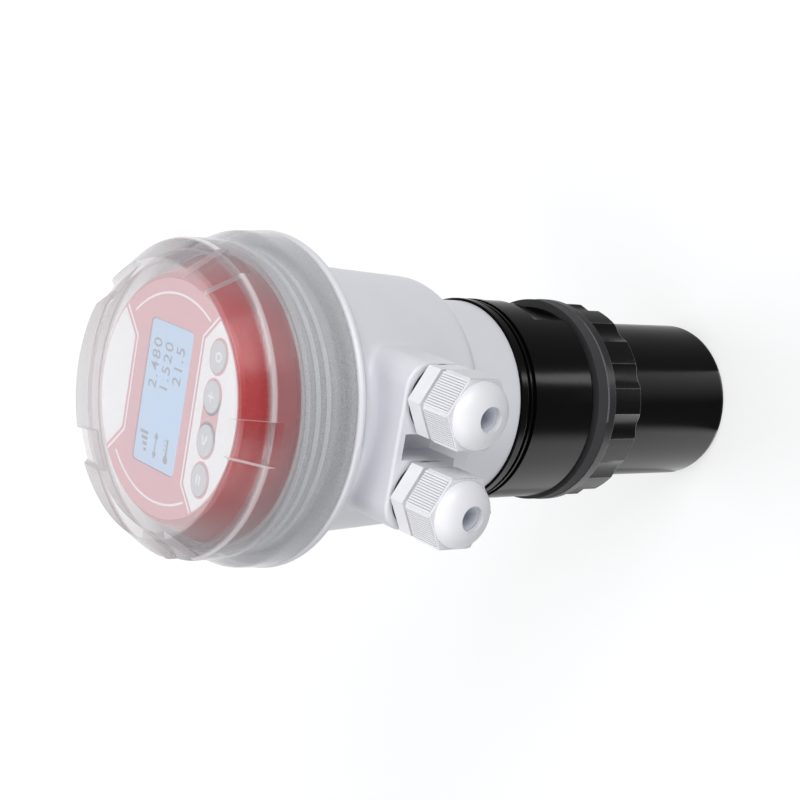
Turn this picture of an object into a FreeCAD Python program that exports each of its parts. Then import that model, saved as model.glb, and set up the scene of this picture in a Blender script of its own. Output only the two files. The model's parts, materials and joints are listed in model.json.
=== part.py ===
"""Ultrasonic liquid level transmitter: turned sensor body, moulded head, clear screw lid, two cable glands.

The sensing face lies on z = 0 and the display looks along +Z, with its text reading along +X.
The cable glands leave the head along -Y. All sizes are in millimetres.
"""
import FreeCAD, Part
import math
import os

vec = FreeCAD.Vector
UP = vec(0, 0, 1)
ORIGIN = vec(0, 0, 0)

# Clearances
fit_gap = 0.2
move_gap = 0.3
same_place = 0.01

# Sensor body, turned from black rod
tube_d = 57.0
tube_edge_r = 3.0
tube_free_h = 54.5
tube_wall = 3.0
face_t = 2.0
thread_step = 1.5
collar_d = 70.6
collar_h = 35.0
collar_edge_r = 0.5
relief_step = 3.5
relief_h = 1.8
flat_across = 65.0
flat_h = 15.6
rim_step = 0.3
rim_h = 3.3
groove_h = 1.5
groove_depth = 0.7
ridge_h = 0.7
band_h = 2.2
shoulder_w = 4.5
spigot_over_floor = 8.0

# Lock nut and gasket on the process thread
gasket_w = 6.3
gasket_t = 4.8
nut_flange_w = 6.5
nut_flange_h = 4.1
nut_flange_edge_r = 0.5
nut_lobe_w = 5.2
nut_lobe_h = 14.8
nut_edge = 0.8
lobe_count = 12
lobe_turn = -76.5
scallop_r = 8.8
scallop_depth = 1.6

# Ultrasonic transducer potted into the sensor body
isolator_w = 5.0
isolator_h = 11.0
matching_t = 3.0
damper_h = 25.0
potting_h = 58.0
probe_d = 4.0
probe_h = 8.0
lead_d = 5.0
lead_x = 10.0
lead_y = 8.0

# White housing
neck_step = 0.6
neck_h = 23.0
seal_w = 1.6
seal_h = 1.6
shoulder_ledge = 7.1
shoulder_r = 7.0
body_h = 60.8
body_draft = 3.4
housing_wall = 3.0
mouth_h = 16.0
mouth_step = 2.2
mouth_edge_r = 0.8
flange_lip = 7.2
flange_t = 3.2
flange_edge_r = 1.3
lock_ring_h = 6.0
lock_slot_w = 5.0
lock_slot_h = 3.0

# Gland boss on the housing
gland_rise = 38.0
gland_pitch = 31.2
boss_out = 14.0
boss_margin = 11.4
boss_h = 25.5
boss_corner_r = 8.0
boss_blend_r = 3.0
boss_edge_r = 1.0
pocket_w = 8.4
pocket_wall = 2.8

# Cable gland
gland_across = 22.0
gland_thread_d = 18.6
gland_spigot_h = 9.0
gland_hex_h = 5.7
gland_bore_d = 11.0
washer_t = 1.0
washer_w = 1.5
cap_thread_d = 18.0
cap_thread_h = 10.3
cap_gap_h = 1.3
cap_hex_h = 12.0
cap_dome_h = 5.9
cap_wall = 2.0
cap_mouth_step = 0.2
cable_d = 8.0
grommet_wall = 2.8
grommet_h = 11.0
grommet_seat_h = 5.3

# Clear screw lid
lid_gap = 1.6
lid_skirt_wall = 3.5
lid_skirt_gap = 0.3
lid_bead_step = 0.3
lid_bead_h = 8.7
lid_flare_h = 7.5
lid_side_h = 13.0
lid_slope_w = 7.0
lid_slope_h = 9.8
lid_slope_wall = 3.8
lid_window_t = 3.0
lid_corner_r = 2.5
lid_flare_r = 5.0
lid_edge_r = 0.8
notch_count = 5
notch_angle = 16.0
notch_depth = 2.2
lid_turn = -91.0
lid_seal_d = 2.3

# Red display cup in the housing mouth
cup_rim_inset = 1.4
cup_rim_t = 1.5
cup_skirt_h = 6.0
cup_wall = 2.0
cup_slope_w = 6.5
cup_h = 16.9
cup_bevel = 1.3
cup_plate_t = 2.0

# Face label, display window and keys
label_t = 0.35
label_inset = 0.5
window_w = 46.0
window_h = 23.2
window_corner_r = 1.6
window_y = 2.5
window_gap = 0.3
window_sink = 0.3
key_w = 10.0
key_h = 7.8
key_row_inset = 14.0
key_inner_x = 6.9
key_outer_x = 19.4
key_proud = 0.6
key_travel = 0.6
key_flange_w = 0.8
key_flange_t = 0.9

# Electronics
board_t = 1.6
display_board_inset = 1.7
display_drop = 7.6
post_d = 4.4
screw_d = 2.0
screw_head_d = 4.0
screw_head_h = 1.5
screw_bite = 5.0
display_post_gap = 3.0
display_post_pitch = 28.0
main_board_gap = 0.8
main_post_h = 9.0
main_post_inset = 2.6
main_post_count = 3
main_post_turn = 30.0
header_w = 16.0
header_d = 5.0
header_h = 6.0
header_y = 12.0
ribbon_w = 14.0
ribbon_t = 0.9
terminal_w = 36.0
terminal_d = 10.0
terminal_h = 12.0
terminal_y = -20.0
terminal_count = 6
terminal_screw_d = 3.4
terminal_screw_h = 4.0
terminal_well_h = 6.0
transformer_w = 16.0
transformer_d = 14.0
transformer_h = 12.0
transformer_edge_gap = 6.7
connector_w = 9.0
connector_d = 7.0
connector_h = 6.0
switch_w = 6.0
switch_body_h = 3.4
switch_plunger_d = 3.4

# Diameters that follow from the driving sizes
tube_bore_d = tube_d - 2 * tube_wall
thread_d = tube_d + 2 * thread_step
relief_d = thread_d + 2 * relief_step
spigot_d = collar_d - 2 * shoulder_w
neck_d = collar_d - 2 * neck_step
neck_bore_d = spigot_d + 2 * fit_gap
body_low_d = neck_d + 2 * shoulder_ledge
body_top_d = body_low_d + 2 * body_draft
mouth_d = body_top_d + 2 * mouth_step
mouth_bore_d = mouth_d - 2 * housing_wall
flange_d = mouth_d + 2 * flange_lip
lid_bore_d = mouth_d + 2 * lid_gap
lid_side_d = lid_bore_d + 2 * (lid_skirt_wall - lid_gap)
lid_bead_d = flange_d - 2 * lid_bead_step
lid_front_d = lid_side_d - 2 * lid_slope_w
cup_rim_d = mouth_d - 2 * cup_rim_inset
cup_skirt_d = mouth_bore_d - 2 * fit_gap
cup_front_d = cup_rim_d - 2 * cup_slope_w
label_d = cup_front_d - 2 * cup_bevel - 2 * label_inset
display_board_d = label_d - 2 * display_board_inset
grommet_d = cable_d + 2 * grommet_wall

# Heights above the sensing face
nut_z = tube_free_h
nut_flange_z = nut_z + nut_lobe_h
gasket_z = nut_flange_z + nut_flange_h
relief_z = gasket_z + gasket_t
collar_z = relief_z + relief_h
neck_z = collar_z + collar_h
shoulder_z = neck_z + neck_h
floor_z = shoulder_z + housing_wall
spigot_z = floor_z + spigot_over_floor
flange_z = shoulder_z + body_h
mouth_z = flange_z + flange_t
cup_z = mouth_z + mouth_h
cup_front_z = cup_z + cup_h
label_z = cup_front_z + label_t
plate_z = cup_front_z - cup_plate_t
lid_z = mouth_z + lid_skirt_gap
lid_flare_z = lid_z + lid_bead_h
lid_side_z = lid_flare_z + lid_flare_h
lid_slope_z = lid_side_z + lid_side_h
lid_front_z = lid_slope_z + lid_slope_h
lid_window_z = lid_front_z - lid_window_t
gland_z = shoulder_z + gland_rise
matching_z = face_t
piezo_z = matching_z + matching_t
damper_z = face_t + isolator_h
potting_z = damper_z + damper_h
lead_z = potting_z + potting_h
main_board_z = floor_z + main_post_h
main_top_z = main_board_z + board_t
display_top_z = plate_z - display_drop
display_board_z = display_top_z - board_t
key_y = -(label_d / 2 - key_row_inset)


def body_radius(z):
    """Outer radius of the drafted housing wall at height z."""
    return body_low_d / 2 + body_draft * (z - shoulder_z) / body_h


boss_face = body_radius(gland_z) + boss_out
pocket_floor = body_radius(gland_z + boss_h / 2) + fit_gap
boss_half_w = gland_pitch / 2 + boss_margin
main_board_d = 2 * (body_radius(main_board_z) - housing_wall - main_board_gap)
main_post_reach = main_board_d / 2 - main_post_inset
transformer_y = main_board_d / 2 - transformer_edge_gap - transformer_d / 2
lock_ring_d = 2 * (main_post_reach - move_gap) - post_d
neck_seal_d = spigot_d + shoulder_w - neck_step - seal_w
isolator_bore_d = tube_bore_d - 2 * fit_gap - 2 * isolator_w
probe_reach = (isolator_bore_d + isolator_w) / 2
gland_hex_top = washer_t + gland_hex_h
gland_thread_top = gland_hex_top + cap_thread_h
grommet_low = gland_hex_top + grommet_seat_h
grommet_top = grommet_low + grommet_h


def rounded_outline(corners):
    """Closed wire in the XZ plane through corners (x, z, corner radius)."""
    points = [vec(x, 0, z) for x, z, radius in corners]
    count = len(points)
    edges = []
    starts = []
    ends = []
    for index, corner in enumerate(points):
        radius = corners[index][2]
        if radius == 0:
            starts.append(corner)
            ends.append(corner)
            continue
        back = (points[index - 1] - corner).normalize()
        ahead = (points[(index + 1) % count] - corner).normalize()
        half = back.getAngle(ahead) / 2
        middle = (back + ahead).normalize()
        starts.append(corner + back * (radius / math.tan(half)))
        ends.append(corner + ahead * (radius / math.tan(half)))
        crown = corner + middle * (radius / math.sin(half) - radius)
        edges.append(Part.Arc(starts[-1], crown, ends[-1]).toShape())
    for index in range(count):
        start = ends[index]
        end = starts[(index + 1) % count]
        if start.distanceToPoint(end) > 1e-6:
            edges.append(Part.LineSegment(start, end).toShape())
    return Part.Wire(Part.__sortEdges__(edges))


def turned(corners, angle=360):
    """Solid of revolution about Z from corners (radius, z, corner radius)."""
    return Part.Face(rounded_outline(corners)).revolve(ORIGIN, UP, angle)


def ring(outer_d, inner_d, low_z, high_z):
    """Plain ring or tube about Z."""
    outer = Part.makeCylinder(outer_d / 2, high_z - low_z, vec(0, 0, low_z))
    return outer.cut(Part.makeCylinder(inner_d / 2, high_z - low_z, vec(0, 0, low_z)))


def rod(diameter, low_z, high_z, x=0, y=0):
    """Upright round bar."""
    return Part.makeCylinder(diameter / 2, high_z - low_z, vec(x, y, low_z))


def block(width, depth, low_z, high_z, x=0, y=0):
    """Upright rectangular bar centred on x, y."""
    return Part.makeBox(width, depth, high_z - low_z, vec(x - width / 2, y - depth / 2, low_z))


def display_pane(grow, low_z, high_z):
    """Upright bar of the display's round-cornered outline, moved outwards by grow."""
    bar = block(window_w + 2 * grow, window_h + 2 * grow, low_z, high_z, 0, window_y)
    upright = [edge for edge in bar.Edges if edge.BoundBox.ZLength > high_z - low_z - same_place]
    return bar.makeFillet(window_corner_r + grow, upright)


def oval(width, depth, low_z, high_z, x, y):
    """Upright elliptical bar centred on x, y."""
    ellipse = Part.Ellipse(vec(x, y, low_z), width / 2, depth / 2).toShape()
    return Part.Face(Part.Wire(ellipse)).extrude(vec(0, 0, high_z - low_z))


def hexagon(across, low_z, high_z):
    """Upright hexagonal bar with corners on the Y axis."""
    reach = across / math.sqrt(3)
    corners = [vec(reach * math.sin(math.radians(60 * k)), reach * math.cos(math.radians(60 * k)), low_z)
               for k in range(7)]
    return Part.Face(Part.makePolygon(corners)).extrude(vec(0, 0, high_z - low_z))


def joined(shapes):
    """One solid from overlapping shapes."""
    return shapes[0].fuse(shapes[1:]).removeSplitter()


def at_angles(count, turn):
    """Evenly spaced angles in degrees, starting from turn."""
    return [turn + 360.0 * k / count for k in range(count)]


def around(shape, angle):
    """Copy of a shape turned about Z."""
    copy = shape.copy()
    copy.rotate(ORIGIN, UP, angle)
    return copy


def at_gland(shape, side):
    """Place a piece drawn along +Z from z = 0 on the boss face, pointing along -Y."""
    copy = shape.copy()
    copy.rotate(ORIGIN, vec(1, 0, 0), 90)
    copy.translate(vec(side * gland_pitch / 2, -boss_face, gland_z))
    return copy


def make_sensor_body():
    """Tube, process thread, collar with wrench flats, grooved rim and spigot, in one turned piece."""
    groove_r = collar_d / 2 - groove_depth
    rim_r = collar_d / 2 + rim_step
    rim_z = neck_z - rim_h
    ridge_z = rim_z - groove_h - ridge_h
    band_top_z = ridge_z - groove_h
    band_z = band_top_z - band_h
    body = turned([
        (0, 0, 0),
        (tube_d / 2, 0, tube_edge_r),
        (tube_d / 2, nut_z, 0),
        (thread_d / 2, nut_z + thread_step, 0),
        (thread_d / 2, relief_z, 0),
        (relief_d / 2, relief_z, 0),
        (relief_d / 2, collar_z, 0),
        (collar_d / 2, collar_z, collar_edge_r),
        (collar_d / 2, band_z, 0),
        (rim_r, band_z, 0),
        (rim_r, band_top_z, 0),
        (groove_r, band_top_z, 0),
        (groove_r, ridge_z, 0),
        (collar_d / 2, ridge_z, 0),
        (collar_d / 2, ridge_z + ridge_h, 0),
        (groove_r, ridge_z + ridge_h, 0),
        (groove_r, rim_z, 0),
        (rim_r, rim_z, collar_edge_r),
        (rim_r, neck_z, collar_edge_r),
        (neck_seal_d / 2 + seal_w, neck_z, 0),
        (neck_seal_d / 2 + seal_w, neck_z - seal_h, 0),
        (neck_seal_d / 2, neck_z - seal_h, 0),
        (neck_seal_d / 2, neck_z, 0),
        (spigot_d / 2, neck_z, 0),
        (spigot_d / 2, spigot_z, 0),
        (tube_bore_d / 2, spigot_z, 0),
        (tube_bore_d / 2, face_t, 0),
        (0, face_t, 0),
    ])
    side = Part.makeBox(collar_d, 2 * collar_d, flat_h, vec(flat_across / 2, -collar_d, collar_z))
    return body.cut([side, around(side, 180)])


def make_neck_seal():
    """Square-section seal in the collar's top groove, pressed by the housing neck."""
    return ring(neck_seal_d + 2 * seal_w, neck_seal_d, neck_z - seal_h, neck_z)


def make_neck_lock_ring():
    """Ring nut on the spigot that pulls the sensor body against the housing floor."""
    top_z = floor_z + lock_ring_h
    lock = ring(lock_ring_d, spigot_d + 2 * fit_gap, floor_z, top_z)
    slot = block(2 * lock_ring_d, lock_slot_w, top_z - lock_slot_h, top_z)
    return lock.cut(slot)


def make_gasket():
    """Flat rubber gasket between the collar and the lock nut."""
    return ring(thread_d + 2 * gasket_w, thread_d + 2 * move_gap, gasket_z, relief_z)


def make_lock_nut():
    """Lobed hand nut with a flange that presses the gasket."""
    bore_r = thread_d / 2 + move_gap
    lobe_r = thread_d / 2 + nut_lobe_w
    flange_r = thread_d / 2 + nut_flange_w
    nut = turned([
        (bore_r, nut_z, 0),
        (lobe_r - nut_edge, nut_z, 0),
        (lobe_r, nut_z + nut_edge, 0),
        (lobe_r, nut_flange_z, 0),
        (flange_r, nut_flange_z, nut_flange_edge_r),
        (flange_r, gasket_z, nut_flange_edge_r),
        (bore_r, gasket_z, 0),
    ])
    scallop = rod(2 * scallop_r, nut_z, nut_flange_z, lobe_r - scallop_depth + scallop_r)
    half_step = 180.0 / lobe_count
    return nut.cut([around(scallop, angle) for angle in at_angles(lobe_count, lobe_turn + half_step)])


def make_isolator():
    """Soft ring that holds the transducer away from the tube wall, with a pocket for the probe."""
    soft = ring(tube_bore_d - 2 * fit_gap, isolator_bore_d, face_t, damper_z)
    return soft.cut(rod(probe_d + 2 * fit_gap, face_t, damper_z, probe_reach))


def make_temperature_probe():
    """Small probe behind the sensing face that corrects the speed of sound."""
    return rod(probe_d, face_t, face_t + probe_h, probe_reach)


def make_matching_layer():
    """Acoustic matching disc bonded behind the sensing face."""
    return rod(isolator_bore_d - 2 * fit_gap, matching_z, piezo_z)


def make_piezo_disc():
    """Ceramic disc that sends and receives the sound pulse."""
    return rod(isolator_bore_d - 2 * fit_gap, piezo_z, damper_z)


def make_damper():
    """Loaded backing block that stops the disc ringing."""
    return rod(tube_bore_d - 2 * fit_gap, damper_z, potting_z)


def make_potting():
    """Resin that seals the transducer into the tube."""
    return rod(tube_bore_d - 2 * fit_gap, potting_z, lead_z)


def make_sensor_lead():
    """Screened lead from the transducer up to the main board."""
    return rod(lead_d, lead_z, main_board_z - connector_h, lead_x, lead_y)


def make_lead_connector():
    """Plug of the sensor lead under the main board."""
    return block(connector_w, connector_d, main_board_z - connector_h, main_board_z, lead_x, lead_y)


def housing_boss():
    """Rounded block that carries both glands, hollow between them towards the sensor."""
    low_z = gland_z - boss_h / 2
    high_z = gland_z + boss_h / 2
    outline = rounded_outline([
        (-boss_half_w, low_z, boss_corner_r),
        (boss_half_w, low_z, boss_corner_r),
        (boss_half_w, high_z, boss_corner_r),
        (-boss_half_w, high_z, boss_corner_r),
    ])
    solid = Part.Face(outline).extrude(vec(0, -boss_face, 0))
    face_edges = [edge for edge in solid.Edges if edge.BoundBox.YMax < -boss_face + same_place]
    return solid.makeFillet(boss_edge_r, face_edges)


def on_boss_root(edge):
    """True for an edge where the boss meets the drafted wall."""
    points = edge.discretize(5)
    near_wall = all(abs(math.hypot(p.x, p.y) - body_radius(p.z)) < same_place for p in points)
    in_width = all(abs(p.x) < boss_half_w + same_place and p.y < 0 for p in points)
    in_height = all(abs(p.z - gland_z) < boss_h / 2 + same_place for p in points)
    return near_wall and in_width and in_height


def main_post_spots():
    """Centres of the posts that carry the main board."""
    angles = [math.radians(angle) for angle in at_angles(main_post_count, main_post_turn)]
    return [(main_post_reach * math.cos(a), main_post_reach * math.sin(a)) for a in angles]


def make_housing():
    """Moulded head: sensor neck, drafted body with gland boss, lid flange and threaded mouth."""
    ledge = (body_low_d - neck_d) / 2
    outer = turned([
        (0, neck_z, 0),
        (neck_d / 2, neck_z, 0),
        (neck_d / 2, shoulder_z, 0),
        (body_low_d / 2, shoulder_z, min(shoulder_r, 0.95 * ledge)),
        (body_top_d / 2, flange_z, 0),
        (flange_d / 2, flange_z, flange_edge_r),
        (flange_d / 2, mouth_z, flange_edge_r),
        (mouth_d / 2, mouth_z, 0),
        (mouth_d / 2, cup_z, mouth_edge_r),
        (0, cup_z, 0),
    ])
    blended = joined([outer, housing_boss()])
    blended = blended.makeFillet(boss_blend_r, [edge for edge in blended.Edges if on_boss_root(edge)])
    cavity = turned([
        (0, floor_z, 0),
        (body_radius(floor_z) - housing_wall, floor_z, min(shoulder_r, 0.95 * ledge) / 2),
        (body_radius(flange_z) - housing_wall, flange_z, 0),
        (mouth_bore_d / 2, mouth_z, 0),
        (mouth_bore_d / 2, cup_z, 0),
        (0, cup_z, 0),
    ])
    neck_bore = rod(neck_bore_d, neck_z, floor_z)
    pocket_mid_y = -(boss_face + pocket_floor) / 2
    pocket = block(pocket_w, boss_face - pocket_floor, gland_z - boss_h, gland_z + boss_h / 2 - pocket_wall,
                   0, pocket_mid_y)
    entry = rod(gland_thread_d + 2 * fit_gap, body_radius(gland_z) / 2 - boss_face, 0)
    shell = blended.cut([cavity, neck_bore, pocket, at_gland(entry, 1), at_gland(entry, -1)])
    posts = []
    for x, y in main_post_spots():
        posts.append(rod(post_d, floor_z - housing_wall / 2, main_board_z, x, y))
    holes = [rod(screw_d, floor_z, main_board_z, x, y) for x, y in main_post_spots()]
    return joined([shell] + posts).cut(holes)


def make_lid():
    """Clear screw lid: flat window, notched sloping grip, skirt and rear bead."""
    slope = lid_slope_w / lid_slope_h
    inner_drop = lid_slope_wall * math.hypot(slope, 1)
    inner_r = lid_bore_d / 2 - lid_gap
    inner_corner_z = lid_slope_z - (inner_r + inner_drop - lid_side_d / 2) / slope
    window_r = inner_r - (lid_window_z - inner_corner_z) * slope
    seal_groove_r = mouth_d / 2 + 3 * move_gap + lid_seal_d
    seal_groove_z = mouth_z + 2 * move_gap + lid_seal_d
    lid = turned([
        (0, lid_front_z, 0),
        (lid_front_d / 2, lid_front_z, lid_edge_r),
        (lid_side_d / 2, lid_slope_z, lid_corner_r),
        (lid_side_d / 2, lid_side_z, 0),
        (lid_bead_d / 2 - lid_bead_step, lid_flare_z, lid_flare_r),
        (lid_bead_d / 2, lid_z, lid_edge_r),
        (seal_groove_r, lid_z, 0),
        (seal_groove_r, seal_groove_z, 0),
        (lid_bore_d / 2, seal_groove_z, 0),
        (lid_bore_d / 2, cup_z + cup_rim_t, 0),
        (inner_r, cup_z + cup_rim_t + lid_gap, 0),
        (inner_r, inner_corner_z, 0),
        (window_r, lid_window_z, 0),
        (0, lid_window_z, 0),
    ])
    floor_r = lid_side_d / 2 - notch_depth * math.hypot(slope, 1)
    low_z = lid_slope_z - (lid_side_d / 2 - floor_r) / slope
    high_r = floor_r - lid_slope_h * slope
    notch = turned([
        (lid_side_d / 2, low_z, 0),
        (lid_bead_d / 2, low_z, 0),
        (lid_bead_d / 2, lid_front_z + lid_window_t, 0),
        (high_r - lid_window_t * slope, lid_front_z + lid_window_t, 0),
    ], notch_angle)
    return lid.cut([around(notch, angle - notch_angle / 2) for angle in at_angles(notch_count, lid_turn)])


def make_lid_seal():
    """O-ring in the lid's rear groove, against the housing flange."""
    middle_r = mouth_d / 2 + 1.5 * move_gap + lid_seal_d / 2
    return Part.makeTorus(middle_r, lid_seal_d / 2, vec(0, 0, mouth_z + move_gap + lid_seal_d / 2))


def key_spots():
    """Centres of the four keys, from left to right."""
    return [(x, key_y) for x in (-key_outer_x, -key_inner_x, key_inner_x, key_outer_x)]


def display_post_spots():
    """Centres of the posts behind the front plate, beside and above the window."""
    side_x = window_w / 2 + window_gap + display_post_gap + post_d / 2
    top_y = window_y + window_h / 2 + window_gap + display_post_gap + post_d / 2
    pair_x = display_post_pitch / 2
    return [(side_x, window_y), (-side_x, window_y), (pair_x, top_y), (-pair_x, top_y)]


def make_display_cup():
    """Red cup that plugs into the housing mouth and carries the display behind its front plate."""
    skirt_r = cup_skirt_d / 2
    cup = turned([
        (skirt_r - cup_wall, cup_z - cup_skirt_h, 0),
        (skirt_r, cup_z - cup_skirt_h, 0),
        (skirt_r, cup_z, 0),
        (cup_rim_d / 2, cup_z, 0),
        (cup_rim_d / 2, cup_z + cup_rim_t, 0),
        (cup_front_d / 2, cup_front_z - cup_bevel, 0),
        (cup_front_d / 2 - cup_bevel, cup_front_z, 0),
        (0, cup_front_z, 0),
        (0, plate_z, 0),
        (cup_front_d / 2 - cup_wall, plate_z, 0),
        (skirt_r - cup_wall, cup_z, 0),
    ])
    posts = [rod(post_d, display_top_z, plate_z + cup_plate_t / 2, x, y) for x, y in display_post_spots()]
    holes = [rod(screw_d, display_top_z, plate_z, x, y) for x, y in display_post_spots()]
    window = display_pane(window_gap, plate_z, cup_front_z)
    key_holes = [oval(key_w + 2 * move_gap, key_h + 2 * move_gap, plate_z, cup_front_z, x, y)
                 for x, y in key_spots()]
    return joined([cup] + posts).cut(holes + [window] + key_holes)


def make_face_label():
    """Printed film on the cup's front plate, open at the display window and the keys."""
    film = rod(label_d, cup_front_z, label_z)
    window = display_pane(window_gap, cup_front_z, label_z)
    key_holes = [oval(key_w + 2 * move_gap, key_h + 2 * move_gap, cup_front_z, label_z, x, y)
                 for x, y in key_spots()]
    return film.cut([window] + key_holes)


def make_display_window():
    """Display glass with its backlight, standing on the display board and filling the window."""
    return display_pane(0, display_top_z, label_z - window_sink)


def make_key(x, y):
    """Key with a flange under the front plate that keeps it in."""
    top = oval(key_w, key_h, plate_z - key_flange_t, label_z + key_proud, x, y)
    wide = oval(key_w + 2 * key_flange_w, key_h + 2 * key_flange_w, plate_z - key_flange_t, plate_z, x, y)
    return joined([top, wide])


def make_key_switches():
    """Push switches on the display board, one under each key."""
    plunger_z = plate_z - key_flange_t - key_travel - fit_gap
    switches = []
    for x, y in key_spots():
        body = block(switch_w, switch_w, display_top_z, display_top_z + switch_body_h, x, y)
        switches.append(joined([body, rod(switch_plunger_d, display_top_z, plunger_z, x, y)]))
    return Part.makeCompound(switches)


def screw(head_z, tip_z, x, y):
    """Round-headed screw; the head is on the outside of head_z, away from the tip."""
    outward = math.copysign(screw_head_h, head_z - tip_z)
    shank = rod(screw_d - 2 * fit_gap, min(head_z, tip_z), max(head_z, tip_z), x, y)
    head = rod(screw_head_d, min(head_z, head_z + outward), max(head_z, head_z + outward), x, y)
    return joined([shank, head])


def make_display_board():
    """Round board behind the front plate, screwed to the cup's posts."""
    board = rod(display_board_d, display_board_z, display_top_z)
    return board.cut([rod(screw_d, display_board_z, display_top_z, x, y) for x, y in display_post_spots()])


def make_display_screws():
    """Screws from below that hold the display board."""
    return Part.makeCompound([screw(display_board_z, display_top_z + screw_bite, x, y)
                              for x, y in display_post_spots()])


def make_main_board():
    """Round main board on the housing posts."""
    board = rod(main_board_d, main_board_z, main_top_z)
    return board.cut([rod(screw_d, main_board_z, main_top_z, x, y) for x, y in main_post_spots()])


def make_main_screws():
    """Screws that hold the main board to the housing posts."""
    tip_z = main_board_z - screw_bite
    return Part.makeCompound([screw(main_top_z, tip_z, x, y) for x, y in main_post_spots()])


def make_board_headers():
    """Ribbon headers, one on each board."""
    low = block(header_w, header_d, main_top_z, main_top_z + header_h, 0, header_y)
    high = block(header_w, header_d, display_board_z - header_h, display_board_z, 0, header_y)
    return Part.makeCompound([low, high])


def make_ribbon():
    """Flat ribbon between the two boards."""
    return block(ribbon_w, ribbon_t, main_top_z + header_h, display_board_z - header_h, 0, header_y)


def terminal_spots():
    """Centres of the terminal screws."""
    pitch = terminal_w / terminal_count
    return [((k - (terminal_count - 1) / 2) * pitch, terminal_y) for k in range(terminal_count)]


def make_terminal_block():
    """Screw terminal block on the main board, below the cable entries."""
    top_z = main_top_z + terminal_h
    body = block(terminal_w, terminal_d, main_top_z, top_z, 0, terminal_y)
    well_d = terminal_screw_d + 2 * fit_gap
    return body.cut([rod(well_d, top_z - terminal_well_h, top_z, x, y) for x, y in terminal_spots()])


def make_terminal_screws():
    """Clamping screws of the terminal block."""
    low_z = main_top_z + terminal_h - terminal_well_h
    return Part.makeCompound([rod(terminal_screw_d, low_z, low_z + terminal_screw_h, x, y)
                              for x, y in terminal_spots()])


def make_pulse_transformer():
    """Transformer that drives the piezo disc."""
    return block(transformer_w, transformer_d, main_top_z, main_top_z + transformer_h, 0, transformer_y)


def make_gland_washer():
    """Seal under the gland's hexagon."""
    inner_d = gland_thread_d + 2 * fit_gap
    return ring(inner_d + 2 * washer_w, inner_d, 0, washer_t)


def make_gland_body():
    """Gland body: threaded spigot, hexagon and cap thread, bored for the cable."""
    body = joined([
        rod(gland_thread_d, -gland_spigot_h, gland_hex_top),
        hexagon(gland_across, washer_t, gland_hex_top),
        rod(cap_thread_d, washer_t, gland_thread_top),
    ])
    bore = rod(gland_bore_d, -gland_spigot_h, gland_thread_top)
    seat = rod(grommet_d + 2 * move_gap, grommet_low, gland_thread_top)
    return body.cut([bore, seat])


def make_gland_grommet():
    """Rubber sleeve that grips the cable."""
    return ring(grommet_d, cable_d, grommet_low, grommet_top)


def make_gland_cap():
    """Hexagonal cap nut with a domed end and the cable mouth."""
    low = gland_hex_top + cap_gap_h
    high = low + cap_hex_h
    tip = high + cap_dome_h
    dome_r = gland_across / 2 - fit_gap
    oval_end = Part.Ellipse(vec(dome_r, 0, high), vec(0, 0, tip), vec(0, 0, high))
    crown = Part.ArcOfEllipse(oval_end, 0, math.pi / 2).toShape()
    sides = Part.makePolygon([vec(0, 0, tip), vec(0, 0, low), vec(dome_r, 0, low), vec(dome_r, 0, high)])
    dome = Part.Face(Part.Wire(Part.__sortEdges__([crown] + sides.Edges))).revolve(ORIGIN, UP, 360)
    cap = joined([hexagon(gland_across, low, high), dome])
    hollow = turned([
        (0, low, 0),
        (cap_thread_d / 2 + move_gap, low, 0),
        (cap_thread_d / 2 + move_gap, low + cap_thread_h, 0),
        (grommet_d / 2 + move_gap, grommet_top - cap_wall, 0),
        (grommet_d / 2 + move_gap, grommet_top + move_gap, 0),
        (0, grommet_top + move_gap, 0),
    ])
    mouth = rod(cable_d + 2 * cap_mouth_step, high, tip + 1)
    return cap.cut([hollow, mouth])


def make_parts():
    """All pieces by node name."""
    parts = {
        "sensor_body": make_sensor_body(),
        "neck_seal": make_neck_seal(),
        "neck_lock_ring": make_neck_lock_ring(),
        "mounting_gasket": make_gasket(),
        "lock_nut": make_lock_nut(),
        "transducer_isolator": make_isolator(),
        "temperature_probe": make_temperature_probe(),
        "matching_layer": make_matching_layer(),
        "piezo_disc": make_piezo_disc(),
        "backing_damper": make_damper(),
        "potting_resin": make_potting(),
        "sensor_lead": make_sensor_lead(),
        "lead_connector": make_lead_connector(),
        "housing": make_housing(),
        "front_lid": make_lid(),
        "lid_seal": make_lid_seal(),
        "display_cup": make_display_cup(),
        "face_label": make_face_label(),
        "display_window": make_display_window(),
        "key_switches": make_key_switches(),
        "display_board": make_display_board(),
        "display_screws": make_display_screws(),
        "main_board": make_main_board(),
        "main_board_screws": make_main_screws(),
        "board_headers": make_board_headers(),
        "ribbon_cable": make_ribbon(),
        "terminal_block": make_terminal_block(),
        "terminal_screws": make_terminal_screws(),
        "pulse_transformer": make_pulse_transformer(),
    }
    for number, (x, y) in enumerate(key_spots(), 1):
        parts["key_%d" % number] = make_key(x, y)
    for name, side in (("left", -1), ("right", 1)):
        parts["gland_washer_" + name] = at_gland(make_gland_washer(), side)
        parts["gland_body_" + name] = at_gland(make_gland_body(), side)
        parts["gland_grommet_" + name] = at_gland(make_gland_grommet(), side)
        parts["gland_cap_" + name] = at_gland(make_gland_cap(), side)
    return parts


def main():
    os.makedirs("parts", exist_ok=True)
    for name, shape in make_parts().items():
        shape.exportStep(os.path.join("parts", name + ".step"))
        print(name, len(shape.Solids), "valid" if shape.isValid() else "NOT VALID", round(shape.Volume, 1))


main()
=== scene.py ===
"""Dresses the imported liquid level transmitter: finishes, threads, ribbed gland caps, face print and readout."""
import json
from collections import namedtuple
from functools import partial
from math import atan2, copysign, cos, pi, radians, sin

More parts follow.
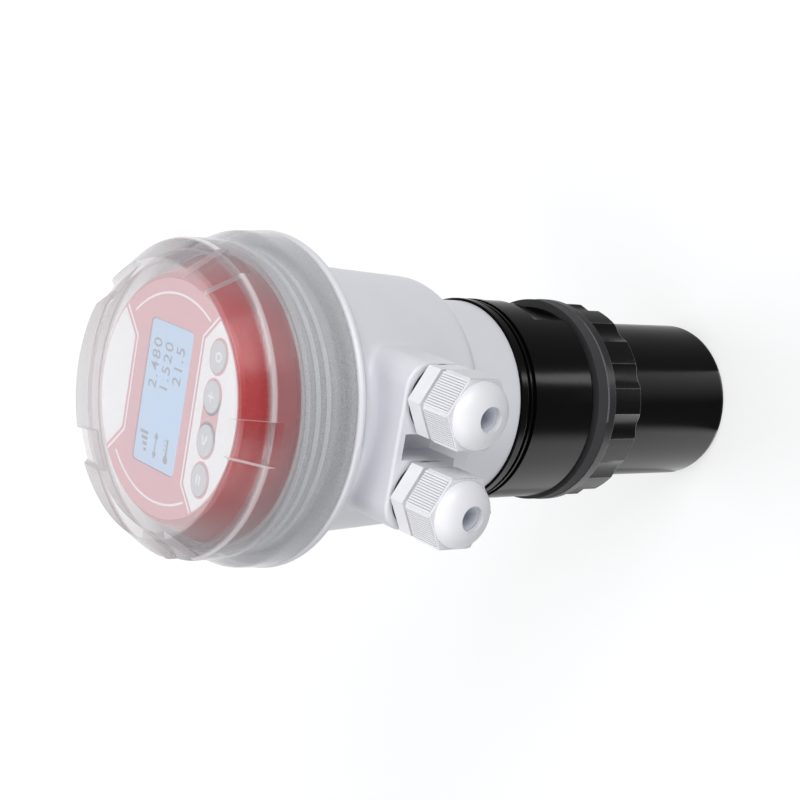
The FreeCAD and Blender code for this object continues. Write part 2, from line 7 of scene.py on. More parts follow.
import bmesh
import bpy
from bpy.props import FloatProperty, FloatVectorProperty, IntProperty, PointerProperty, StringProperty
from mathutils import Matrix, Vector


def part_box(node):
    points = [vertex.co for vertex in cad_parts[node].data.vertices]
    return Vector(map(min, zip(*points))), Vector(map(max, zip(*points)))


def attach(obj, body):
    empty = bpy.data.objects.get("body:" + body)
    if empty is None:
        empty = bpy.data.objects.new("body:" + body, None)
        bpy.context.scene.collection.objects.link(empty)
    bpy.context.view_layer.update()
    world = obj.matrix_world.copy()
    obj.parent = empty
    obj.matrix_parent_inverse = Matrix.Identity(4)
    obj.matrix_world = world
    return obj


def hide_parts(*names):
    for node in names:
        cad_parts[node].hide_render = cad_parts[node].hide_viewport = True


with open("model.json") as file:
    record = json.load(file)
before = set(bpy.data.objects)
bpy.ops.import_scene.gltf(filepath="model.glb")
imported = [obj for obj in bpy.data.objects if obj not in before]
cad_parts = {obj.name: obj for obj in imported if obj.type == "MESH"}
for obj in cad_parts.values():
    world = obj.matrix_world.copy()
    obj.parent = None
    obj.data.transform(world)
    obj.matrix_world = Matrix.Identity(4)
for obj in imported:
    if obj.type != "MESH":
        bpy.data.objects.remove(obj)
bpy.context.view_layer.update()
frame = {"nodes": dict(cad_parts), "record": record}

bl_info = {
    "name": "Level transmitter dressing",
    "version": (1, 0, 0),
    "blender": (4, 5, 0),
    "location": "3D View > Sidebar > Transmitter",
    "description": "Gives the level transmitter its finishes, threads, ribs and face print",
    "category": "Object",
}

MM = 0.001
WHITE = (1, 1, 1, 1)
NODES = frame["nodes"]
BODY_OF = {node: body for body, nodes in frame["record"]["behaviour"]["bodies"].items() for node in nodes}
SLOT_OF = {part["node"]: part["material_slot"] for part in frame["record"]["subparts"]}
LABEL_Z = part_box("face_label")[1].z
WINDOW_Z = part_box("display_window")[1].z
LID_TOP_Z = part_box("front_lid")[1].z
SIDES = ("left", "right")
KEY_NODES = ("key_1", "key_2", "key_3", "key_4")

# Fixed sizes of the shapes.
SMOOTH_ANGLE = radians(30)
SAME_PLANE = 0.02 * MM
STEPS_PER_TURN = 64
CREST_SHARE = 0.35
FINE_ROOT_SHARE = 0.65
THREAD_SINK = 0.1 * MM
RIB_TOP_SHARE = 0.66
FLATS = 6
KEY_FLANGE = 0.8 * MM
KEY_GAP = 0.12 * MM
THIN = 0.02 * MM
MARK_LIFT = 0.012 * MM
CAPITAL_SHARE = 0.7
ROW_FIRST = 4.8 * MM
ROW_PITCH = 6.4 * MM
ROW_END = 5.5 * MM
SIGN_START = 7 * MM

# Where the CAD has the cylinders and the flats that threads and ribs stand on.
MOUTH_RADIUS = 47.4 * MM
MOUTH_THREAD_LOW = 204.6 * MM
LID_BORE = 49.0 * MM
PROCESS_RADIUS = 30.0 * MM
PROCESS_START = 2.6 * MM
GLAND_RADIUS = 9.0 * MM
GLAND_RUN = 9.6 * MM
CAP_HEXAGON = 12.0 * MM

# Where the finishes change, as heights and radii in the object's frame.
GRIT_DEPTH = 0.05 * MM
NUT_FLANGE = 4.15 * MM
LID_WINDOW_RADIUS = 43.9 * MM
LID_WINDOW_DEPTH = 4 * MM
LID_CORNER_Z = 231.5 * MM
LID_CORNER_WIDTH = 0.9 * MM
LID_CORNER_RADIUS = 49.4 * MM
LID_INNER_CORNER_Z = 229.86 * MM
LID_FROST_Z = 220.5 * MM
LID_BEAD_Z = 210.5 * MM

# How much of what lies behind it each part of the clear lid hides, from nought to one.
SLOPE_HAZE = 0.035
WALL_HAZE = 0.06
SKIRT_HAZE = 0.24
THREAD_HAZE = 0.1
# The window's white veil is a little haze of the plastic and a painted reflection.
WINDOW_VEIL = 0.1
# The next two are for the painted highlight lines on the outer corner, notch sides and bead, and for the painted
# shade line on the inner corner.
PALE_HIGHLIGHT = 0.42
INNER_SHADE_LINE = 0.4
# Glances set how much painted grey shade the lid takes at its grazing edges.
GLANCE = 1.4
WINDOW_GLANCE = 0.8

# The stage, in metres, watts and levels of glow.
SENSOR_WIDTH = 36
FLOOR_DROP = 0.1 * MM
GLOW_START, GLOW_END = 0.35, 1.7
GLOW_NEAR, GLOW_FAR = 0.66, 0.91
LAMP_MIDDLE = 0.13
LAMP_SIDE = 0.9
GLAND_LAMP_SIDE = 0.4
GLAND_LAMP_AWAY = 0.7
GLAND_LAMP_POWER = 1.1
PANEL_HEIGHT = 2 * MM


def linear(code):
    """Linear colour with alpha from an sRGB hex value."""
    channels = [int(code[start:start + 2], 16) / 255 for start in (1, 3, 5)]
    return tuple(c / 12.92 if c <= 0.04045 else ((c + 0.055) / 1.055) ** 2.4 for c in channels) + (1.0,)


def per_mm(size):
    """Texture scale whose features are size millimetres across."""
    return 1 / (size * MM)


def bands(pitch):
    """Wave texture scale whose bands repeat every pitch millimetres."""
    return per_mm(pitch) * pi / 10


def length(name, description, millimetres):
    """Property for a length, given in millimetres."""
    return FloatProperty(name=name, description=description, default=millimetres * MM, unit="LENGTH", precision=5)


def number(name, description, value):
    """Property for a plain number."""
    return FloatProperty(name=name, description=description, default=value)


def colour(name, description, code):
    """Property for a colour, given as an sRGB hex value."""
    return FloatVectorProperty(name=name, description=description, default=linear(code), size=4,
                               subtype="COLOR", min=0, max=1)


class TransmitterSizes(bpy.types.PropertyGroup):
    """Sizes of the shapes that are added to the solids."""
    thread_pitch: length("Thread pitch", "Rise of the lid thread in one turn", 4.0)
    thread_height: length("Thread height", "Height of the mouth thread from its sunk root", 0.5)
    thread_root: length("Thread root", "Width of the thread at its root", 2.4)
    thread_turns: number("Thread turns", "Turns of the mouth thread", 3.0)
    process_pitch: length("Process thread pitch", "Rise of the lock nut's thread in one turn", 2.0)
    process_turns: number("Process turns", "Turns of the process thread", 10.0)
    gland_pitch: length("Gland thread pitch", "Rise of the gland cap in one turn", 1.411)
    gland_turns: number("Gland turns", "Turns of the gland thread", 6.4)
    fine_height: length("Fine thread height", "How far the fine threads stand out", 0.18)
    rib_count: IntProperty(name="Ribs", description="Ribs on each flat of a gland cap", default=14)
    rib_pitch: length("Rib pitch", "Distance between neighbouring ribs", 0.86)
    rib_width: length("Rib width", "Width of one rib at its root", 0.84)
    rib_height: length("Rib height", "How far a rib stands out of its flat", 0.45)
    rib_margin: length("Rib margin", "Plain band at the dome end of a ribbed flat", 0.6)
    cap_seam: length("Cap seam", "How far the cap's rear face is drawn back", 0.5)
    print_step: length("Print step", "Thickness of one printed layer", 0.03)
    print_radius: length("Print radius", "Radius that the printed fields reach", 37.3)
    panel_y: length("Key panel edge", "Straight edge of the key panel", -15.5)
    panel_half: length("Key panel half width", "Half of the key panel's straight edge", 23.0)
    leaf_y: length("Name panel edge", "Straight edge of the blank panel", 22.2)
    leaf_half: length("Name panel half width", "Half of the blank panel's straight edge", 15.0)
    border_gap: length("Border gap", "Gap between a panel and its border line", 1.0)
    border_line: length("Border line", "Width of a printed line", 0.7)
    arc_radius: length("Arc radius", "Radius of the printed arcs beside the display", 33.2)
    key_outline: length("Key outline", "How far the red outline reaches past a key", 0.9)
    key_bar: length("Key bar", "Width of the red bar between the middle keys", 8.6)
    digit_height: length("Digit height", "Height of the readout digits", 4.4)
    key_mark_height: length("Key mark height", "Height of the marks on the keys", 4.6)
    lid_thread_height: length("Lid thread height", "Height of the lid's thread from its sunk root", 1.2)
    lid_thread_root: length("Lid thread root", "Width of the lid's thread at its root", 1.7)


class TransmitterColours(bpy.types.PropertyGroup):
    """Colours of the finishes."""
    housing: colour("Housing", "Moulded white of the head", "#dcdde3")
    gland: colour("Glands", "Natural white of the gland nylon", "#e0e0e5")
    # Painted shade in the rib grooves and seams of the glands.
    gland_groove_shade: colour("Gland grooves", "Grey between the ribs of the gland caps", "#d0d1d5")
    # The lid's white: on the window a little haze and a painted reflection, on the rear bead a painted highlight.
    lid: colour("Lid", "Veil and rear bead of the clear lid", "#f2f4f7")
    # Painted highlight along the lid's outer corners, notch sides and rear bead.
    lid_corner_highlight: colour("Lid corners", "Pale lines along the lid's outer corners", "#e4dde0")
    # Painted grey shade on the lid's inner corner, its grazing edges and its clear wall above the frost.
    lid_edge_shade: colour("Lid edges", "Grey of the lid's inner corner and grazing edges", "#a5a0a4")
    lid_frost: colour("Lid frost", "Grey of the frosted skirt and thread", "#c6c8cc")
    cup: colour("Cup", "Red of the display cup", "#b6131b")
    film: colour("Label film", "Red of the face label", "#d07a83")
    ink: colour("White ink", "White print on the label", "#f4f4f6")
    glass: colour("Display", "Lit ground of the display", "#9fc3e6")
    digits: colour("Digits", "Dark segments of the display", "#5c6976")
    key: colour("Keys", "Grey of the keys", "#bfc1c6")
    key_mark: colour("Key marks", "Pale marks on the keys", "#f2eff2")
    sensor: colour("Sensor body", "Black of the turned sensor body", "#080808")
    nut: colour("Lock nut", "Black of the moulded nut", "#0a0a0b")
    # Painted highlight along the nut's edges.
    nut_edge_highlight: colour("Nut edges", "Paler worn edges of the nut", "#a2a2a5")
    gasket: colour("Gasket", "Dark grey of the gasket", "#313133")
    seal: colour("Seals", "Black of the small seals", "#1c1c1e")
    grommet: colour("Grommets", "Pale blue grey of the cable grommets", "#ecf1fa")
    board: colour("Boards", "Green of the circuit boards", "#1d5a36")
    terminal: colour("Terminals", "Green of the terminal block", "#2f7a48")
    steel: colour("Screws", "Zinc plated steel", "#b9bbbe")
    resin: colour("Resin", "Potting resin", "#2a2a2c")
    ceramic: colour("Ceramic", "Piezo ceramic", "#c9bf9f")
    ribbon: colour("Ribbon", "Grey ribbon cable", "#a9abae")
    floor: colour("Floor", "Pale studio floor", "#97989a")


class StageSettings(bpy.types.PropertyGroup):
    """Camera, floor and lamps."""
    view_turn: FloatProperty(name="View turn", description="Angle between the view and the sensor axis",
                             default=radians(40.906), subtype="ANGLE")
    view_roll: FloatProperty(name="View roll", description="Turn of the object about its own axis",
                             default=radians(15.0), subtype="ANGLE")
    camera_side: length("Camera side", "Camera offset to the side of the sensing face", -104.98)
    camera_back: length("Camera back", "Camera distance in front of the sensing face", 778.56)
    camera_drop: length("Camera drop", "Camera offset below the sensor axis", 0.38)
    lens: number("Lens", "Focal length in millimetres on a 36 mm sensor", 90.0)
    floor_size: length("Floor size", "Side of the floor", 8000.0)
    world_strength: number("World", "Strength of the even light", 0.3)


def sizes():
    return bpy.context.scene.transmitter_sizes


def colours():
    return bpy.context.scene.transmitter_colours


def connect(node, inputs):
    """Gives a node's inputs their values, or links them to sockets or to the first outputs of other nodes."""
    for key, source in inputs.items():
        source = getattr(source, "outputs", (source,))[0]
        if isinstance(source, bpy.types.NodeSocket):
            node.id_data.links.new(source, node.inputs[key])
        else:
            node.inputs[key].default_value = source


def add_node(tree, kind, inputs=None, **settings):
    """Adds a shader node with its settings, and with what its inputs hold or are linked to."""
    node = tree.nodes.new("ShaderNode" + kind)
    for key, value in settings.items():
        setattr(node, key, value)
    connect(node, inputs or {})
    return node


def start_material(name, inputs):
    """New material with a principled shader; returns it, what adds a node to it, its shader and coordinates."""
    made = bpy.data.materials.new(name)
    made.use_nodes = True
    made.node_tree.nodes.clear()
    add = partial(add_node, made.node_tree)
    shader = add("BsdfPrincipled", inputs)
    add("OutputMaterial", {"Surface": shader})
    place = add("TexCoord").outputs["Object"]
    return made, add, shader, place


def shade(tint, share):
    """The colour, darkened by a share."""
    return tuple(c * (1 - share) for c in tint[:3]) + (1.0,)


# A speckled finish: the material's name, its index of refraction, its colour and the share by which patches of it
# are darker, the size of these patches and of the grit in millimetres, the range of its roughness and its bump.
Speckle = namedtuple("Speckle", "material ior colour darker patch grit rough bump specular sheen metallic",
                     defaults=(0.5, 0.0, 0.0))
SPECKLES = {
    # Injection-moulded ABS: satin white, with a faint eroded grain and hardly any tone change.
    "white_housing": Speckle("moulded_white_abs", 1.53, "housing", 0.05, 14, 0.5, (0.3, 0.42), 0.12),
    # Moulded nylon: a little whiter and softer than the housing, with grey painted shade between the ribs.
    "gland_nylon": Speckle("natural_nylon", 1.53, "gland", 0.05, 6, 0.4, (0.34, 0.46), 0.1),
    # Polycarbonate thread inside the lid: its many small slopes scatter light, so it reads as pale rings.
    "lid_thread": Speckle("frosted_polycarbonate", 1.585, "lid", 0.12, 4, 0.45, (0.3, 0.5), 0.2),
    # Gloss red ABS: deep even colour with a soft clear highlight.
    "red_cup": Speckle("gloss_red_abs", 1.53, "cup", 0.18, 9, 0.6, (0.2, 0.32), 0.06),
    # Screen-printed polyester film: satin, with a fine stipple.
    "label_film": Speckle("printed_polyester_film", 1.64, "film", 0.08, 5, 0.35, (0.38, 0.5), 0.08),
    # Screen ink: thicker and flatter than the film under it.
    "white_ink": Speckle("white_screen_ink", 1.5, "ink", 0.05, 4, 0.3, (0.45, 0.6), 0.1),
    # Liquid crystal of a display segment: soft dark grey.
    "segment": Speckle("dark_display_segment", 1.52, "digits", 0.15, 3, 0.4, (0.3, 0.4), 0.02),
    # Moulded silicone: dull grey with a slightly dusty bloom.
    "key_grey": Speckle("grey_silicone", 1.43, "key", 0.12, 2.5, 0.3, (0.45, 0.6), 0.15, sheen=0.1),
    # Pad print on the keys: pale and flat.
    "key_mark": Speckle("pale_pad_print", 1.5, "key_mark", 0.06, 2, 0.3, (0.45, 0.6), 0.05),
    # Black polymer turned on a lathe: deep gloss with fine tool rings.
    "black_polymer": Speckle("turned_black_polymer", 1.46, "sensor", 0.3, 8, 0.6, (0.14, 0.24), 0.04,
                             specular=0.03),
    # Glass-filled black nylon: gloss lobes with a painted highlight along their edges, dull dark grey on the
    # nut's eroded flange.
    "black_nylon": Speckle("filled_black_nylon", 1.53, "nut", 0.3, 5, 0.4, (0.2, 0.34), 0.12, specular=0.03),
    # Pressed rubber sheet: dark grey, dull and slightly chalky.
    "gasket_rubber": Speckle("pressed_rubber", 1.52, "gasket", 0.25, 3, 0.4, (0.6, 0.8), 0.3, specular=0.3),
    # Moulded rubber of the O-rings and small seals: black and dull.
    "seal_rubber": Speckle("moulded_seal_rubber", 1.52, "seal", 0.25, 3, 0.4, (0.5, 0.65), 0.2, specular=0.3),
    # Soft rubber of the cable grommets: pale blue grey.
    "grommet_rubber": Speckle("soft_grommet_rubber", 1.5, "grommet", 0.15, 3, 0.4, (0.5, 0.65), 0.2),
    # Nylon of the screw terminals: green, with a moulded satin.
    "terminal_green": Speckle("green_terminal_nylon", 1.53, "terminal", 0.15, 4, 0.4, (0.35, 0.5), 0.1),
    # Zinc-plated steel of the small screws: bright, slightly cloudy.
    "zinc_steel": Speckle("zinc_plated_steel", 1.5, "steel", 0.2, 1.5, 0.3, (0.25, 0.42), 0.1, metallic=1.0),
    # Cast epoxy around the transducer: near black, self-levelled and glossy.
    "potting": Speckle("cast_epoxy", 1.55, "resin", 0.2, 10, 2.0, (0.15, 0.25), 0.05),
    # Fired piezo ceramic: matt cream with a fine sintered grain.
    "piezo_ceramic": Speckle("fired_piezo_ceramic", 1.6, "ceramic", 0.15, 3, 0.3, (0.6, 0.75), 0.15),
}


def speckled(name):
    """A speckled finish, with what its own function adds to it."""
    row = SPECKLES[name]
    made, add, shader, place = start_material(
        row.material, {"IOR": row.ior, "Specular IOR Level": row.specular, "Sheen Weight": row.sheen,
                       "Metallic": row.metallic})
    tint = getattr(colours(), row.colour)
    patch = add("TexNoise", {"Vector": place, "Scale": per_mm(row.patch), "Detail": 3.0})
    mixed = add("Mix", {0: patch, 6: tint, 7: shade(tint, row.darker)}, data_type="RGBA")
    tone = mixed.outputs[2]
    grit = add("TexNoise", {"Vector": place, "Scale": per_mm(row.grit), "Detail": 2.0})
    gloss = add("MapRange", {"Value": grit, "To Min": row.rough[0], "To Max": row.rough[1]})
    rise = add("Bump", {"Height": grit, "Strength": row.bump, "Distance": GRIT_DEPTH})
    connect(shader, {"Base Color": tone, "Roughness": gloss, "Normal": rise})
    if name in ADDITIONS:
        connect(shader, ADDITIONS[name](add, place, tone, grit, rise))
    return made


# What a finish adds to its speckle. Each takes the same five values and returns what feeds the shader.
def groove_painted_shade(add, place, tone, grit, rise):
    """Painted shade: grey between the ribs of the gland caps, and wherever other parts come near."""
    sky = add("AmbientOcclusion", {"Distance": 0.8 * MM}, samples=8).outputs["AO"]
    depth = add("MapRange", {"Value": sky, "From Min": 0.85, "From Max": 0.35, "To Max": 0.9})
    groove_shade_tone = add("Mix", {0: depth, 6: tone, 7: colours().gland_groove_shade}, data_type="RGBA")
    return {"Base Color": groove_shade_tone.outputs[2]}


def thread_cloud(add, place, tone, grit, rise):
    """Lets the lid's wall show through its frosted thread."""
    return {"Alpha": add("MapRange", {"Value": grit, "To Min": 0.6, "To Max": 0.9})}


def tool_rings(add, place, tone, grit, rise):
    """Lathe marks; they are 0.1 mm apart, and are drawn 0.5 mm apart so that they show."""
    rings = add("TexWave", {"Vector": place, "Scale": bands(0.5), "Distortion": 0.4}, bands_direction="Z")
    tooled = add("Bump", {"Height": rings.outputs["Fac"], "Normal": rise, "Strength": 0.04,
                          "Distance": GRIT_DEPTH})
    return {"Normal": tooled}


def painted_edge_highlight(add, place, tone, grit, rise):
    """Dull grey on the nut's flange, and a painted highlight that makes every edge paler."""
    height = add("SeparateXYZ", {0: place}).outputs[2]
    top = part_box("lock_nut")[1].z
    above = add("Math", {0: height, 1: top - NUT_FLANGE}, operation="GREATER_THAN")
    below = add("Math", {0: height, 1: top + 1 * MM}, operation="LESS_THAN")
    flange = add("Math", {0: above, 1: below}, operation="MULTIPLY")
    dull = add("Mix", {0: flange, 6: tone, 7: colours().gasket}, data_type="RGBA")
    # The bevelled normal finds the edges, which turn paler as a painted highlight.
    rounded = add("Bevel", {"Radius": 0.5 * MM}, samples=6)
    facing = add("NewGeometry").outputs["True Normal"]
    agree = add("VectorMath", {0: rounded, 1: facing}, operation="DOT_PRODUCT")
    edge_glint = add("MapRange", {"Value": agree.outputs["Value"], "From Min": 0.985, "From Max": 0.9, "To Max": 0.8})
    edge_highlighted = add("Mix", {0: edge_glint, 6: dull.outputs[2], 7: colours().nut_edge_highlight}, data_type="RGBA")
    return {"Base Color": edge_highlighted.outputs[2]}


ADDITIONS = {"gland_nylon": groove_painted_shade, "lid_thread": thread_cloud, "black_polymer": tool_rings,
             "black_nylon": painted_edge_highlight}


def clear_polycarbonate():
    """Moulded polycarbonate: clear slope, veiled window, frosted skirt, outer corners with a painted highlight,
    and grey painted shade on its edges.
    """
    made, add, shader, place = start_material(
        "clear_polycarbonate", {"IOR": 1.585, "Roughness": 0.16, "Specular IOR Level": 0.7})
    split = add("SeparateXYZ", {0: place})
    height = split.outputs[2]
    flat = add("CombineXYZ", {0: split.outputs[0], 1: split.outputs[1]})
    radius = add("VectorMath", {0: flat}, operation="LENGTH").outputs["Value"]
    inside = add("Math", {0: radius, 1: LID_WINDOW_RADIUS}, operation="LESS_THAN")
    high = add("Math", {0: height, 1: LID_TOP_Z - LID_WINDOW_DEPTH}, operation="GREATER_THAN")
    window = add("Math", {0: inside, 1: high}, operation="MULTIPLY")

    # Haze, which grows down the wall to the frosted skirt and is thinner where the thread shows.
    wall_haze = add("MapRange", {"Value": height, "From Min": LID_CORNER_Z + 1 * MM,
                                 "From Max": LID_CORNER_Z - 6 * MM, "To Min": SLOPE_HAZE, "To Max": WALL_HAZE})
    skirt = add("MapRange", {"Value": height, "From Min": LID_FROST_Z + 1.5 * MM,
                             "From Max": LID_FROST_Z - 1.5 * MM})
    thread_haze = add("MapRange", {"Value": height, "From Min": LID_FROST_Z - 2 * MM,
                                   "From Max": LID_FROST_Z - 4 * MM, "To Max": -THREAD_HAZE})
    upper_haze = add("Math", {0: skirt, 1: SKIRT_HAZE, 2: wall_haze}, operation="MULTIPLY_ADD")
    haze = add("Math", {0: upper_haze, 1: thread_haze}, operation="ADD")
    # Frosting grit is about 0.1 mm; it is drawn at 0.45 mm so that it shows at this distance.
    grain = add("TexNoise", {"Vector": place, "Scale": per_mm(0.45), "Detail": 2.0, "Roughness": 0.7})
    spread = add("MapRange", {"Value": grain, "From Min": 0.3, "From Max": 0.7, "To Min": 0.6, "To Max": 1.4})
    frost = add("Math", {0: haze, 1: spread}, operation="MULTIPLY")
    # On the window the haze gives way to a thin even veil, partly haze and partly painted reflection.
    veil = add("Mix", {0: window, 2: frost, 3: WINDOW_VEIL}, data_type="FLOAT")

    # Painted highlight lines on the outer corner, on the sides of the notches and on the rear bead, and a painted
    # shade line on the inner corner.
    outer = add("Math", {0: radius, 1: LID_CORNER_RADIUS}, operation="GREATER_THAN")
    inner = add("Math", {0: radius, 1: LID_CORNER_RADIUS}, operation="LESS_THAN")
    lines = []
    for level, side in ((LID_CORNER_Z, outer), (LID_INNER_CORNER_Z, inner)):
        offset = add("Math", {0: height, 1: level}, operation="SUBTRACT")
        apart = add("Math", {0: offset}, operation="ABSOLUTE")
        near = add("MapRange", {"Value": apart, "From Min": 1.5 * LID_CORNER_WIDTH,
                                "From Max": 0.5 * LID_CORNER_WIDTH})
        lines.append(add("Math", {0: near, 1: side}, operation="MULTIPLY"))
    corner, inner_corner_shade = lines
    # Notch sides face round the lid; they get the painted highlight too.
    along = add("VectorMath", {0: flat, 1: (0.0, 0.0, 1.0)}, operation="CROSS_PRODUCT")
    ahead = add("VectorMath", {0: along}, operation="NORMALIZE")
    facing = add("TexCoord").outputs["Normal"]
    turned = add("VectorMath", {0: facing, 1: ahead}, operation="DOT_PRODUCT")
    across = add("Math", {0: turned.outputs["Value"]}, operation="ABSOLUTE")
    notch = add("MapRange", {"Value": across, "From Min": 0.6, "From Max": 0.8, "To Max": 0.9})
    highlight_line = add("Math", {0: corner, 1: notch}, operation="MAXIMUM")
    bead = add("MapRange", {"Value": height, "From Min": LID_BEAD_Z + 3 * MM, "From Max": LID_BEAD_Z,
                            "To Max": 0.15})
    painted_highlight = add("Math", {0: highlight_line, 1: bead}, operation="MAXIMUM")

    # Veil, painted highlight lines, the painted shade line and the edges add up to what the lid hides.
    marked = add("Math", {0: painted_highlight, 1: PALE_HIGHLIGHT, 2: veil}, operation="MULTIPLY_ADD")
    grooved = add("Math", {0: inner_corner_shade, 1: INNER_SHADE_LINE, 2: marked}, operation="MULTIPLY_ADD")
    edge = add("LayerWeight", {"Blend": 0.2}).outputs["Facing"]
    glance = add("Mix", {0: window, 2: GLANCE, 3: WINDOW_GLANCE}, data_type="FLOAT")
    hidden = add("Math", {0: edge, 1: glance, 2: grooved}, operation="MULTIPLY_ADD", use_clamp=True)

    # Each part in its own tone, with painted grey shade on the clear wall, the inner corner and the grazing
    # edges, and the painted highlight on the lines.
    white = add("Math", {0: window, 1: bead}, operation="MAXIMUM")
    wall_tone = add("Mix", {0: skirt, 6: colours().lid_edge_shade, 7: colours().lid_frost}, data_type="RGBA")
    clear = add("Mix", {0: white, 6: wall_tone.outputs[2], 7: colours().lid}, data_type="RGBA")
    edge_shade = add("Math", {0: inner_corner_shade, 1: edge}, operation="MAXIMUM")
    edged = add("Mix", {0: edge_shade, 6: clear.outputs[2], 7: colours().lid_edge_shade}, data_type="RGBA")
    tone = add("Mix", {0: highlight_line, 6: edged.outputs[2], 7: colours().lid_corner_highlight}, data_type="RGBA")
    rise = add("Bump", {"Height": frost, "Strength": 0.25, "Distance": 0.04 * MM})
    connect(shader, {"Alpha": hidden, "Base Color": tone.outputs[2], "Normal": rise})
    return made


def lit_display():
    """Backlit liquid crystal glass: pale blue, evenly lit, with a faint dot grid of 0.6 mm."""
    made, add, shader, place = start_material(
        "backlit_display_glass", {"IOR": 1.52, "Roughness": 0.12, "Emission Strength": 0.12})
    lines = [add("TexWave", {"Vector": place, "Scale": bands(0.6)}, bands_direction=axis).outputs["Fac"]
             for axis in ("X", "Y")]
    dots = add("Math", {0: lines[0], 1: lines[1]}, operation="MAXIMUM")
    faint = add("MapRange", {"Value": dots, "From Min": 0.7, "To Max": 0.12})
    tone = add("Mix", {0: faint, 6: colours().glass, 7: colours().digits}, data_type="RGBA")
    connect(shader, {"Base Color": tone.outputs[2], "Emission Color": tone.outputs[2]})
    return made


def solder_masked_board():
    """Glass-epoxy board under green solder mask, with paler copper runs showing through."""
    made, add, shader, place = start_material("solder_masked_board", {"IOR": 1.55, "Roughness": 0.3})
    runs = add("TexBrick", {"Vector": place, "Scale": per_mm(5), "Mortar Size": 0.03, "Color1": colours().board,
                            "Color2": shade(colours().board, 0.15), "Mortar": colours().terminal})
    connect(shader, {"Base Color": runs.outputs["Color"]})
    return made


def ribbon_vinyl():
    """Vinyl ribbon cable: grey, ridged along each of its 1.27 mm cores."""
    made, add, shader, place = start_material("ribbon_vinyl", {"IOR": 1.53, "Roughness": 0.45})
    cores = add("TexWave", {"Vector": place, "Scale": bands(1.27)}, bands_direction="X").outputs["Fac"]
    tone = add("Mix", {0: cores, 6: shade(colours().ribbon, 0.35), 7: colours().ribbon}, data_type="RGBA")
    ridge = add("Bump", {"Height": cores, "Strength": 0.6, "Distance": 0.3 * MM})
    connect(shader, {"Base Color": tone.outputs[2], "Normal": ridge})
    return made


OTHER_FINISHES = {
    "clear_polycarbonate": clear_polycarbonate,
    "display_glass": lit_display,
    "circuit_board": solder_masked_board,
    "ribbon_grey": ribbon_vinyl,
}


def finish_for(name):
    """The material of a slot or print, made at its first use."""
    scene = bpy.context.scene
    key = "finish_" + name
    if key not in scene:
        made = speckled(name) if name in SPECKLES else OTHER_FINISHES[name]()
        scene[key] = made.name
    return bpy.data.materials[scene[key]]


def clear_selection():
    """Leaves edit mode and deselects everything."""
    if bpy.context.object and bpy.context.object.mode != "OBJECT":
        bpy.ops.object.mode_set(mode="OBJECT")
    bpy.ops.object.select_all(action="DESELECT")


def take(piece):
    """Makes a piece the only selected and active object."""
    clear_selection()
    piece.select_set(True)
    bpy.context.view_layer.objects.active = piece


def edit(piece):
    """Enters edit mode on a piece with everything selected."""
    take(piece)
    bpy.ops.object.mode_set(mode="EDIT")
    bpy.ops.mesh.select_all(action="SELECT")


def select_where(piece, test):
    """Selects the vertices that pass a test, in edit mode."""
    bpy.ops.mesh.select_all(action="DESELECT")
    mesh = bmesh.from_edit_mesh(piece.data)
    for vertex in mesh.verts:
        vertex.select = test(vertex)
    mesh.select_flush_mode()
    bmesh.update_edit_mesh(piece.data)


def done():
    bpy.ops.object.mode_set(mode="OBJECT")


def face_outwards():
    """Turns every face of the mesh in edit mode outwards, and leaves edit mode."""
    bpy.ops.mesh.select_all(action="SELECT")
    bpy.ops.mesh.normals_make_consistent(inside=False)
    done()


def named(name):
    """Names the object that was just added."""
    piece = bpy.context.object
    piece.name = name
    piece.data.name = name
    return piece


def settle(piece):
    """Puts a piece's place, turn and scale into its mesh."""
    take(piece)
    bpy.ops.object.transform_apply(location=True, rotation=True, scale=True)
    return piece


def upright_square(name):
    """Square of side one across the Y axis."""
    clear_selection()
    bpy.ops.mesh.primitive_plane_add(size=1, rotation=(pi / 2, 0, 0))
    return settle(named(name))


def hand_over(piece, node, finish, replace=False):
    """Finish, smooth shading and body of a new piece, which belongs to a node of the frame."""
    take(piece)
    piece.data.materials.clear()
    piece.data.materials.append(finish_for(finish))
    bpy.ops.object.shade_smooth_by_angle(angle=SMOOTH_ANGLE)
    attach(piece, BODY_OF[node])
    if replace:
        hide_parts(node)


def apply_modifier(piece, kind, settings):
    """Adds one modifier and applies it."""
    take(piece)
    modifier = piece.modifiers.new(kind.lower(), kind)
    for key, value in settings.items():
        setattr(modifier, key, value)
    bpy.ops.object.modifier_apply(modifier=modifier.name)


def join(pieces, name):
    """Joins pieces into the first one."""
    take(pieces[0])
    for piece in pieces[1:]:
        piece.select_set(True)
    bpy.ops.object.join()
    return named(name)


def solid_copy(node, name):
    """Merged copy of a node's mesh, to be worked on."""
    clear_selection()
    piece = bpy.data.objects.new(name, NODES[node].data.copy())
    bpy.context.collection.objects.link(piece)
    edit(piece)
    bpy.ops.mesh.customdata_custom_splitnormals_clear()
    bpy.ops.mesh.remove_doubles(threshold=0.1 * SAME_PLANE)
    done()
    return piece


def node_middle(node):
    low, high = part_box(node)
    return (low + high) / 2


